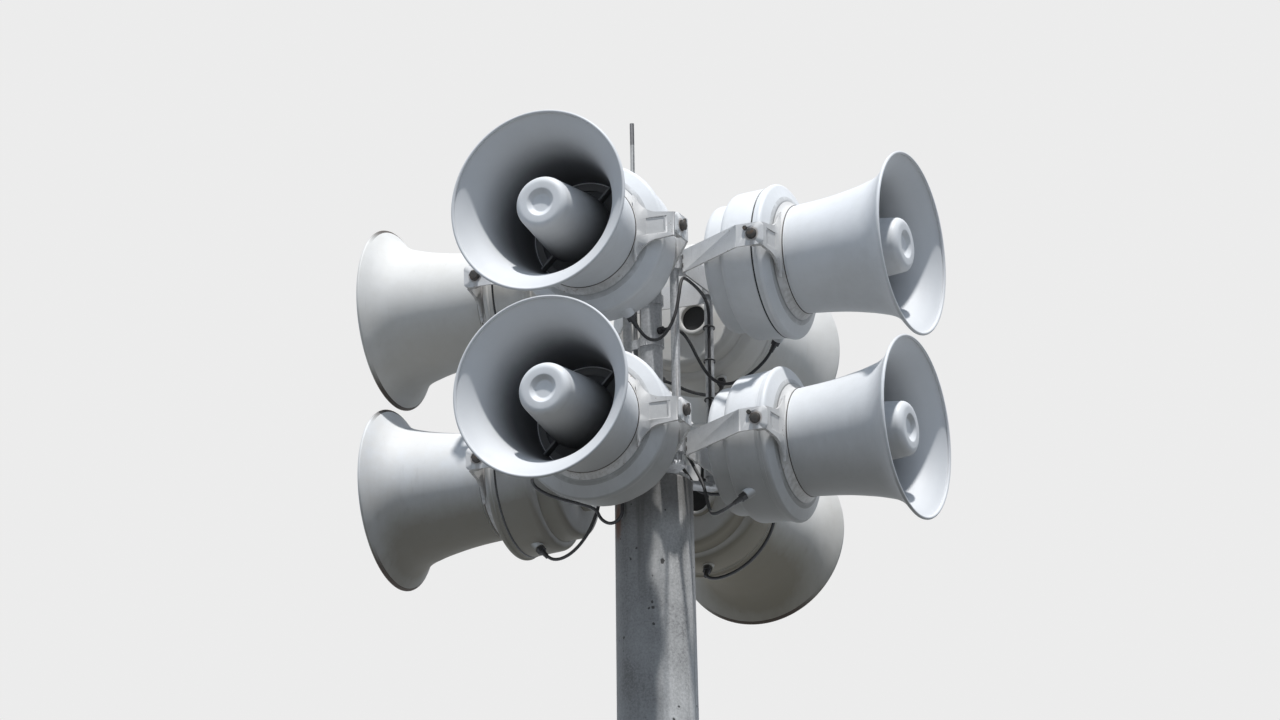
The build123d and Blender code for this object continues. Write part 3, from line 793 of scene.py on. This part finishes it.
# The bracket's casting: a narrow collar on the hub, and two wings with a plain recess in each
collar_r = 0.1625
collar_rear = 0.433
collar_width = 0.0297
collar_squeeze = 0.73
collar_back = 0.010
collar_swell = 0.028
hub_hole_r = 0.138
wing_back = 0.014
wing_start = 0.425
wing_slope = 0.0842
groove_middle = 0.207
groove_reach = (0.0262, 0.0252)
groove_depth = 0.006
recess_middle = 0.198
recess_size = (0.050, 0.046)
recess_depth = 0.0022
wing_face = (0.455, 0.136)
trunnion = smoothed("upper_right_bracket", "trunnion")
trunnion.data.transform(horn_place("upper_right").inverted())
for vertex in trunnion.data.vertices:
    along, across, rise = vertex.co
    beside = abs(abs(across) - groove_middle)
    front_face = wing_face[0] - wing_slope * (abs(across) - wing_face[1])
    in_groove = beside < groove_reach[0] and abs(rise) < groove_reach[1]
    if in_groove and along > front_face - groove_depth:
        vertex.co.x = front_face
    out = math.hypot(across, rise)
    if out < collar_r:
        share = (along - collar_rear) / collar_width
        vertex.co.x = collar_rear - collar_back + collar_squeeze * (along - collar_rear)
        if out > hub_hole_r:
            vertex.co.y *= 1 + collar_swell * share
            vertex.co.z *= 1 + collar_swell * share
    elif along > wing_start:
        vertex.co.x -= wing_back
bpy.ops.object.mode_set(mode="EDIT")
bpy.ops.mesh.select_all(action="SELECT")
bpy.ops.mesh.remove_doubles(threshold=0.00005)
bpy.ops.mesh.dissolve_degenerate(threshold=0.00005)
bpy.ops.object.mode_set(mode="OBJECT")

recess_along = wing_face[0] - wing_back - wing_slope * (recess_middle - wing_face[1])
for sign in (-1, 1):
    bpy.ops.object.select_all(action="DESELECT")
    bpy.ops.mesh.primitive_cube_add(size=1, location=(recess_along, sign * recess_middle, 0))
    cutter = bpy.context.object
    cutter.scale = (2 * recess_depth, recess_size[0], recess_size[1])
    cutter.rotation_euler = (0, 0, sign * math.atan(wing_slope))
    bpy.ops.object.transform_apply(location=True, rotation=True, scale=True)
    pick(trunnion)
    cut = trunnion.modifiers.new("recess", "BOOLEAN")
    cut.operation = "DIFFERENCE"
    cut.solver = "EXACT"
    cut.object = cutter
    bpy.ops.object.modifier_apply(modifier="recess")
    discard(cutter)
pick(trunnion)
bpy.ops.object.shade_smooth_by_angle(angle=math.radians(35))
for horn in horns:
    piece = copied(trunnion, horn + "_trunnion", horn_place(horn))
    dress(piece, horn + "_horn", [painted], [horn + "_bracket"])
discard(trunnion)

# Housings
# Glass-fibre shells in two halves, laid up in a mould and pulled together on a gasket. The gel
# coat is white, cleaner on the front and right, and creamy with dust on the left and back.
body_steps = 112
housing_outline = [
    (0.222, 0.000, 0),
    (0.222, 0.173, 0.020),
    (0.280, 0.173, 0.004),
    (0.280, 0.198, 0.020),
    (0.376, 0.204, 0.001),
    (0.376, 0.200, 0),
    (0.381, 0.200, 0),
    (0.381, 0.2065, 0.0015),
    (0.391, 0.2065, 0.001),
    (0.393, 0.2105, 0.0015),
    (0.404, 0.2135, 0.011),
    (0.421, 0.164, 0.004),
    (0.421, 0.136, 0.001),
    (0.445, 0.136, 0.001),
    (0.445, 0.062, 0.003),
    (0.640, 0.052, 0.001),
    (0.640, 0.047, 0.001),
    (0.445, 0.057, 0),
    (0.445, 0.000, 0),
]

# Where the dirt changes: along the horn, or out from its axis
body_front = 0.42
collar_seam_x = 0.4225
collar_seam_r = 0.175
hub_front = 0.4447
bell_start = 0.452
bell_start_r = 0.1395
bell_slope = 0.09
rim_start = 0.7505
rim_inner_r = 0.2375


def drawn(name, outline):
    """One point, extruded from corner to corner of an outline, whose corners are then rounded."""
    bpy.ops.object.select_all(action="DESELECT")
    bpy.ops.mesh.primitive_plane_add(size=0.001, location=(0, 0, 0))
    piece = bpy.context.object
    piece.name = name
    bpy.ops.object.mode_set(mode="EDIT")
    bpy.ops.mesh.select_mode(type="VERT")
    bpy.ops.mesh.select_all(action="SELECT")
    bpy.ops.mesh.merge(type="CENTER")
    bpy.ops.transform.translate(value=(outline[0][0], 0, outline[0][1]))
    for here, there in zip(outline, outline[1:]):
        step = (there[0] - here[0], 0, there[1] - here[1])
        bpy.ops.mesh.extrude_region_move(TRANSFORM_OT_translate={"value": step})
    for before, here, after in zip(outline, outline[1:], outline[2:]):
        if here[2]:
            run_in = Vector((here[0] - before[0], here[1] - before[1]))
            run_out = Vector((after[0] - here[0], after[1] - here[1]))
            shape = bmesh.from_edit_mesh(piece.data)
            corner = min(shape.verts, key=lambda v: (v.co - Vector((here[0], 0, here[1]))).length)
            for vertex in shape.verts:
                vertex.select = vertex == corner
            shape.select_flush_mode()
            bmesh.update_edit_mesh(piece.data)
            reach = here[2] * math.tan(run_in.angle(run_out) / 2)
            segments = 2 if here[2] < 0.004 else 8
            bpy.ops.mesh.bevel(offset=reach, segments=segments, affect="VERTICES", clamp_overlap=False)
    bpy.ops.object.mode_set(mode="OBJECT")
    return piece


def spun(piece, steps, sharp=30):
    """An outline, spun round the horn's axis into a closed form."""
    bpy.ops.object.mode_set(mode="EDIT")
    bpy.ops.mesh.select_all(action="SELECT")
    bpy.ops.mesh.spin(
        steps=steps,
        angle=2 * math.pi,
        center=(0, 0, 0),
        axis=(1, 0, 0),
        use_auto_merge=True,
    )
    bpy.ops.mesh.select_all(action="SELECT")
    bpy.ops.mesh.remove_doubles(threshold=0.00001)
    bpy.ops.mesh.normals_make_consistent(inside=False)
    bpy.ops.object.mode_set(mode="OBJECT")
    bpy.ops.object.shade_smooth_by_angle(angle=math.radians(sharp))
    return piece


def gelcoat(name, clean, dusty, grime_and_shade, grime_and_shade_share, rim_share, roughness):
    """White gel coat: faint clouds, rain runs, dirt and painted shade below, a rim darkened with brown dirt
    and painted shade, and painted shade deep in the bell, partly sooted.
    """
    material, wire = new_material(name)
    place = wire.place()
    facing = place.output("Normal").part("Z")
    along, across, rise = folded(wire, place)
    out = wire.math("SQRT", across * across + rise * rise)
    clouds = wire.noise(place, scale=4.5, detail=5, roughness=0.6)
    mottle = wire.noise(place, scale=28, detail=4, roughness=0.65)
    ripple = wire.noise(place, scale=75, detail=2)
    runs = wire.noise(place, scale=(55, 55, 5), detail=4, roughness=0.6)
    lower_tier = place.part("Z") < tier_middle
    dust_share = wire.ramp(0.6 * clouds + 0.4 * mottle, start=0.35, end=0.68)
    tone = wire.mixed(dust_share, clean, dusty)
    # Dirt and painted shade: faces that look down are darkened, more on the lower tier and most on its
    # bodies.
    below = wire.ramp(0.12 * (runs - 0.5) + 0.25 * (clouds - 0.5) - facing, start=-0.25, end=0.95)
    from_seam = wire.math("ABSOLUTE", along - collar_seam_x) + 0.02 * (mottle - 0.5)
    seams = wire.ramp(from_seam, start=0.011, end=0.001, top=0.5) * (out < collar_seam_r)
    streaks = wire.ramp(runs + 0.15 * (clouds - 0.5), start=0.60, end=0.80, top=0.12)
    grime_and_shade_weight = grime_and_shade_share * (0.7 + 1.0 * lower_tier + 0.5 * lower_tier * (along < body_front))
    soiled_and_shaded = wire.math("MINIMUM", below * grime_and_shade_weight + streaks * grime_and_shade_share + seams, 0.9)
    tone = wire.mixed(soiled_and_shaded, tone, grime_and_shade)
    pinholes = wire.node("ShaderNodeTexVoronoi", {}, {"Vector": place, "Scale": 70})
    specks = (pinholes + 0.1 * mottle) < 0.09
    tone = wire.mixed(specks * 0.2, tone, (0.3, 0.28, 0.26))
    # Brown dirt and painted shade: the rim's bead is darkened at its top and bottom.
    on_rim = (out > rim_inner_r) * (along > rim_start)
    high_or_low = wire.ramp(wire.math("ABSOLUTE", rise), start=0.165, end=0.232)
    tone = wire.mixed(on_rim * high_or_low * rim_share, tone, (0.055, 0.040, 0.030))
    # Painted shade, partly sooted: the cup and stays darken deep in the bell, towards the neck.
    deep = wire.ramp(along, start=0.63, end=0.47)
    inside = deep * (along > hub_front) * (out < bell_start_r + bell_slope * (along - bell_start))
    tone = wire.mixed(inside * 0.85, tone, (0.028, 0.029, 0.031))
    relief = wire.bump(strength=0.12, distance=0.0007, height=ripple + 0.5 * mottle - specks)
    rough = roughness + 0.14 * mottle + 0.2 * soiled_and_shaded
    surface(wire, {"Base Color": tone, "Roughness": rough, "Normal": relief})
    return material


cool_white = gelcoat(
    "gelcoat_cool_white",
    clean=(0.79, 0.80, 0.81),
    dusty=(0.73, 0.735, 0.735),
    grime_and_shade=(0.29, 0.285, 0.27),
    grime_and_shade_share=0.5,
    rim_share=0.15,
    roughness=0.43,
)
cream_white = gelcoat(
    "gelcoat_cream_white",
    clean=(0.76, 0.745, 0.715),
    dusty=(0.71, 0.69, 0.65),
    grime_and_shade=(0.25, 0.222, 0.168),
    grime_and_shade_share=0.6,
    rim_share=0.95,
    roughness=0.6,
)
mixed_white = gelcoat(
    "gelcoat_mixed_white",
    clean=(0.77, 0.78, 0.79),
    dusty=(0.73, 0.72, 0.70),
    grime_and_shade=(0.23, 0.21, 0.17),
    grime_and_shade_share=0.6,
    rim_share=0.95,
    roughness=0.55,
)
gelcoats = {"front": cool_white, "right": cool_white, "back": cream_white, "left": cream_white}
finishes = {horn: gelcoats[horn.split("_")[1]] for horn in horns}
finishes["lower_left"] = mixed_white
dark_gaskets = ("upper_right", "upper_left", "lower_left")

housing = spun(drawn("housing", housing_outline), body_steps)

# Gland: a round boss on the body, and a black hex nut
boss_r = 0.015
boss_length = 0.030
boss_top = 0.008
boss_edge = 0.002
nut_r = 0.0127
nut_length = 0.014
nut_rim = 0.0022
nut_crown = 0.0003
nut_edge = 0.0008
bpy.ops.object.select_all(action="DESELECT")
bpy.ops.mesh.primitive_cylinder_add(vertices=32, radius=boss_r, depth=boss_length, location=(0, 0, 0))
boss = bpy.context.object
bpy.ops.object.mode_set(mode="EDIT")
bpy.ops.mesh.select_all(action="SELECT")
bpy.ops.transform.translate(value=(0, 0, boss_top - boss_length / 2))
select_faces(boss, lambda middle, normal: normal.z > 0.9)
bpy.ops.mesh.bevel(offset=boss_edge, segments=3, affect="EDGES")
bpy.ops.object.mode_set(mode="OBJECT")
bpy.ops.object.shade_smooth_by_angle(angle=math.radians(40))
bpy.ops.object.select_all(action="DESELECT")
bpy.ops.mesh.primitive_cylinder_add(vertices=6, radius=nut_r, depth=nut_length, location=(0, 0, 0))
nut = bpy.context.object
bpy.ops.object.mode_set(mode="EDIT")
bpy.ops.mesh.select_all(action="SELECT")
bpy.ops.transform.translate(value=(0, 0, boss_top + nut_length / 2))
select_faces(nut, lambda middle, normal: normal.z > 0.9)
bpy.ops.mesh.inset(thickness=nut_rim)
bpy.ops.transform.translate(value=(0, 0, nut_crown))
bpy.ops.mesh.bevel(offset=nut_edge, segments=2, affect="EDGES")
bpy.ops.object.mode_set(mode="OBJECT")
bpy.ops.object.shade_smooth_by_angle(angle=math.radians(25))

# Rear port: a round ring low on the cap, beside the axis, with a black plug sunk in it
port_across = -0.039
port_rise = -0.045
port_r = 0.046
port_hole_r = 0.036
cap_rear = 0.222
port_rear = 0.204
port_root = cap_rear + 0.002
plug_depth = 0.003
plug_middle = cap_rear - 0.001
port = spun(
    drawn(
        "port",
        [
            (port_root, port_r, 0),
            (port_rear, port_r, 0.002),
            (port_rear, port_hole_r, 0.001),
            (port_root, port_hole_r, 0),
            (port_root, port_r, 0),
        ],
    ),
    48,
)
port.data.transform(Matrix.Translation((0, port_across, port_rise)))
bpy.ops.object.select_all(action="DESELECT")
bpy.ops.mesh.primitive_cylinder_add(
    vertices=48,
    radius=port_hole_r,
    depth=plug_depth,
    location=(plug_middle, port_across, port_rise),
    rotation=(0, math.radians(90), 0),
)
plug = bpy.context.object
bpy.ops.object.transform_apply(location=True, rotation=True)
bpy.ops.object.shade_smooth_by_angle(angle=math.radians(30))

# Gasket in the groove, painted over on five horns, and the seal that shows as a dark line
# between collar and bell


def band(name, start, end, inner, outer, edge):
    """A flat ring from start to end along the horn, with rounded outer edges."""
    corners = [(start, inner, 0), (start, outer, edge), (end, outer, edge), (end, inner, 0)]
    return spun(drawn(name, corners + corners[:1]), body_steps)


gasket = band("gasket", start=0.3762, end=0.3808, inner=0.1995, outer=0.2052, edge=0.0012)
seal = band("seal", start=0.4438, end=0.4460, inner=0.1366, outer=0.1481, edge=0.0006)
gasket_rubber = rubber("gasket_rubber", (0.012, 0.012, 0.013), (0.52, 0.52, 0.515))
brown_seal = rubber("brown_seal", (0.045, 0.034, 0.026), (0.40, 0.39, 0.37))
for horn in horns:
    body = horn + "_horn"
    place = horn_place(horn)
    seat = place @ gland_place(horn)
    shell_finish = finishes[horn]
    shell = copied(housing, horn + "_shell", place)
    dress(shell, body, [shell_finish], [horn + "_housing"])
    dress(copied(boss, horn + "_gland_boss", seat), body, [shell_finish])
    dress(copied(nut, horn + "_gland_nut", seat), body, [black_rubber])
    dress(copied(port, horn + "_port", place), body, [shell_finish])
    dress(copied(plug, horn + "_port_plug", place), body, [black_rubber])
    if horn in dark_gaskets:
        dress(copied(gasket, horn + "_gasket", place), body, [gasket_rubber])
    else:
        dress(copied(gasket, horn + "_gasket", place), body, [shell_finish])
    dress(copied(seal, horn + "_seal", place), body, [brown_seal])
discard(housing, boss, nut, port, plug, gasket, seal)

# Bells
# Flared glass-fibre bells with a rolled rim, screwed to the hub through a flange. The inner wall
# darkens towards the neck, partly sooted and dusty and partly painted shade.
bell_steps = 128
inward_limit = -0.3
bell_wall = 0.004
rim_x = 0.7581
rim_r = 0.245
bead_r = 0.0045
flare = [
    (0.4520, 0.1425),
    (0.5402, 0.1510),
    (0.5987, 0.1605),
    (0.6602, 0.1745),
    (0.7012, 0.1890),
    (0.7304, 0.2110),
    (0.7581, 0.2460),
]
neck_outline = [
    (0.4453, 0.1200, 0),
    (0.4453, 0.1465, 0.0015),
    (0.4500, 0.1465, 0.0015),
    (0.4522, 0.1423, 0),
    (0.4522, 0.1386, 0),
    (0.4513, 0.1200, 0.001),
    (0.4453, 0.1200, 0),
]

bpy.ops.object.select_all(action="DESELECT")
bpy.ops.curve.primitive_bezier_curve_add(location=(0, 0, 0))
bell = bpy.context.object
bell.name = "bell"
bell.data.resolution_u = 9
bow = bell.data.splines[0]
bow.bezier_points.add(len(flare) - 2)
for point, (along, out) in zip(bow.bezier_points, flare):
    point.handle_left_type = "AUTO"
    point.handle_right_type = "AUTO"
    point.co = (along, 0, out)
bpy.ops.object.convert(target="MESH")
bell = spun(bpy.context.object, bell_steps, 60)
wall = bell.modifiers.new("wall", "SOLIDIFY")
wall.thickness = bell_wall
wall.offset = -1
wall.use_even_offset = True
bpy.ops.object.modifier_apply(modifier="wall")
bpy.ops.object.shade_smooth_by_angle(angle=math.radians(40))

neck = spun(drawn("neck", neck_outline), bell_steps)
bpy.ops.object.select_all(action="DESELECT")
bpy.ops.mesh.primitive_torus_add(
    major_segments=bell_steps,
    minor_segments=12,
    major_radius=rim_r,
    minor_radius=bead_r,
    location=(0, 0, 0),
    rotation=(0, math.radians(90), 0),
)
bead = bpy.context.object
bpy.ops.object.transform_apply(rotation=True)
bpy.ops.object.mode_set(mode="EDIT")
bpy.ops.mesh.select_all(action="SELECT")
bpy.ops.transform.translate(value=(rim_x, 0, 0))
bpy.ops.object.mode_set(mode="OBJECT")
bpy.ops.object.shade_smooth_by_angle(angle=math.radians(60))
pick(bell, neck, bead)
bpy.ops.object.join()


def inner_wall(middle, normal):
    """Faces that look towards the horn's axis."""
    outward = Vector((0, middle.y, middle.z)).normalized()
    return normal.dot(outward) < inward_limit


bell.data.materials.append(None)
bell.data.materials.append(None)
bpy.ops.object.mode_set(mode="EDIT")
select_faces(bell, inner_wall)
bell.active_material_index = 1
bpy.ops.object.material_slot_assign()
bpy.ops.object.mode_set(mode="OBJECT")


def sooty_and_shaded(name, clean, soot_and_shade):
    """The gel coat of an inner wall: pale at the mouth, and darker towards the neck, partly sooted and partly
    painted shade.
    """
    material, wire = new_material(name)
    place = wire.place()
    along = folded(wire, place)[0]
    clouds = wire.noise(place, scale=9, detail=5, roughness=0.6)
    mottle = wire.noise(place, scale=45, detail=4)
    # Painted shade with some sooting: the wall darkens deeper in the bell.
    deep = wire.ramp(along + 0.05 * (clouds - 0.5), start=0.715, end=0.56)
    tone = wire.mixed(0.12 * clouds + 0.82 * deep, clean, soot_and_shade)
    relief = wire.bump(strength=0.12, distance=0.0006, height=mottle)
    surface(wire, {"Base Color": tone, "Roughness": 0.5 + 0.15 * mottle + 0.2 * deep, "Normal": relief})
    return material


inner_wall_soot_and_shade = sooty_and_shaded("gelcoat_soot_and_shade", (0.74, 0.745, 0.75), (0.062, 0.064, 0.071))
for horn in horns:
    piece = copied(bell, horn + "_flare", horn_place(horn))
    dress(piece, horn + "_horn", [finishes[horn], inner_wall_soot_and_shade], [horn + "_bell"])
discard(bell)

# Reflectors
# A closed cup in each mouth turns the sound back over itself. It is dished in front, moulded in
# the same white glass fibre, and stands on four stays from the bell's neck.
stay_inner = 0.0925
stay_outer = 0.1430
stay_thickness = 0.006
stay_start = 0.482
stay_length = 0.026
stay_edge = 0.0012
cup_steps = 96
cup_outline = [
    (0.7336, 0.0000, 0),
    (0.7336, 0.0250, 0.008),
    (0.7446, 0.0380, 0.005),
    (0.7446, 0.0720, 0.020),
    (0.5000, 0.0970, 0.002),
    (0.5000, 0.0925, 0.002),
    (0.7246, 0.0675, 0.004),
    (0.7246, 0.0000, 0),
]

cup = spun(drawn("cup", cup_outline), cup_steps)
bpy.ops.object.select_all(action="DESELECT")
bpy.ops.mesh.primitive_cube_add(size=1, location=(0, 0, 0))
stay = bpy.context.object
bpy.ops.object.mode_set(mode="EDIT")
bpy.ops.mesh.select_all(action="SELECT")
bpy.ops.transform.resize(value=(stay_length, stay_thickness, stay_outer - stay_inner))
bpy.ops.transform.translate(value=(stay_start + stay_length / 2, 0, (stay_outer + stay_inner) / 2))
bpy.ops.mesh.bevel(offset=stay_edge, segments=2, affect="EDGES")
bpy.ops.object.mode_set(mode="OBJECT")
stays = [copied(stay, "stay", Matrix.Rotation(math.radians(45 + 90 * turn), 4, "X")) for turn in range(4)]
discard(stay)
pick(cup, *stays)
bpy.ops.object.join()
bpy.ops.object.shade_smooth_by_angle(angle=math.radians(30))
for horn in horns:
    piece = copied(cup, horn + "_cup", horn_place(horn))
    dress(piece, horn + "_horn", [finishes[horn]], [horn + "_reflector"])
discard(cup)

# Studio
# A pale floor and backdrop, an even sky and one lamp from high up in front on the right. The
# floor throws little light up, as the ground far below the horns does.
lamp_turn = math.radians(38)
lamp_rise = math.radians(71)
lamp_energy = 3.6
lamp_angle = math.radians(2)
sky_colour = (0.77, 0.93, 1.16, 1)
sky_strength = 0.46
pale = (0.84, 0.84, 0.84, 1)
gathered = (0.15, 0.15, 0.145, 1)
floor_size = 400


def seen(wire):
    """1 for rays from the camera and for reflections, 0 for the light that surfaces gather."""
    rays = wire.node("ShaderNodeLightPath", {}, {}, output="Is Camera Ray")
    mirrored = wire.math("MAXIMUM", rays, rays.output("Is Glossy Ray"))
    return wire.math("MAXIMUM", mirrored, rays.output("Is Transmission Ray"))


bpy.ops.object.select_all(action="DESELECT")
bpy.ops.mesh.primitive_plane_add(size=floor_size, location=(0, 0, -0.001))
floor = bpy.context.object
floor.name = "floor"
ground, wire = new_material("floor")
dim = wire.node("ShaderNodeBsdfDiffuse", {}, {"Color": gathered})
light = wire.node("ShaderNodeBsdfDiffuse", {}, {"Color": pale})
both = wire.node("ShaderNodeMixShader", {}, {0: seen(wire), 1: dim, 2: light})
wire.node("ShaderNodeOutputMaterial", {}, {"Surface": both})
floor.data.materials.append(ground)

world = bpy.data.worlds.new("world")
world.use_nodes = True
world.node_tree.nodes.clear()
wire = Wire(world.node_tree)
sky = wire.node("ShaderNodeBackground", {}, {"Color": sky_colour, "Strength": sky_strength})
backdrop = wire.node("ShaderNodeBackground", {}, {"Color": pale, "Strength": 1.0})
both = wire.node("ShaderNodeMixShader", {}, {0: seen(wire), 1: sky, 2: backdrop})
wire.node("ShaderNodeOutputWorld", {}, {"Surface": both})
bpy.context.scene.world = world

lamp_data = bpy.data.lights.new("lamp", "SUN")
lamp_data.energy = lamp_energy
lamp_data.angle = lamp_angle
lamp = bpy.data.objects.new("lamp", lamp_data)
bpy.context.scene.collection.objects.link(lamp)
shine = -Vector((
    math.sin(lamp_turn) * math.cos(lamp_rise),
    -math.cos(lamp_turn) * math.cos(lamp_rise),
    math.sin(lamp_rise),
))
lamp.rotation_euler = shine.to_track_quat("-Z", "Y").to_euler()

bpy.context.scene.view_settings.view_transform = "Standard"
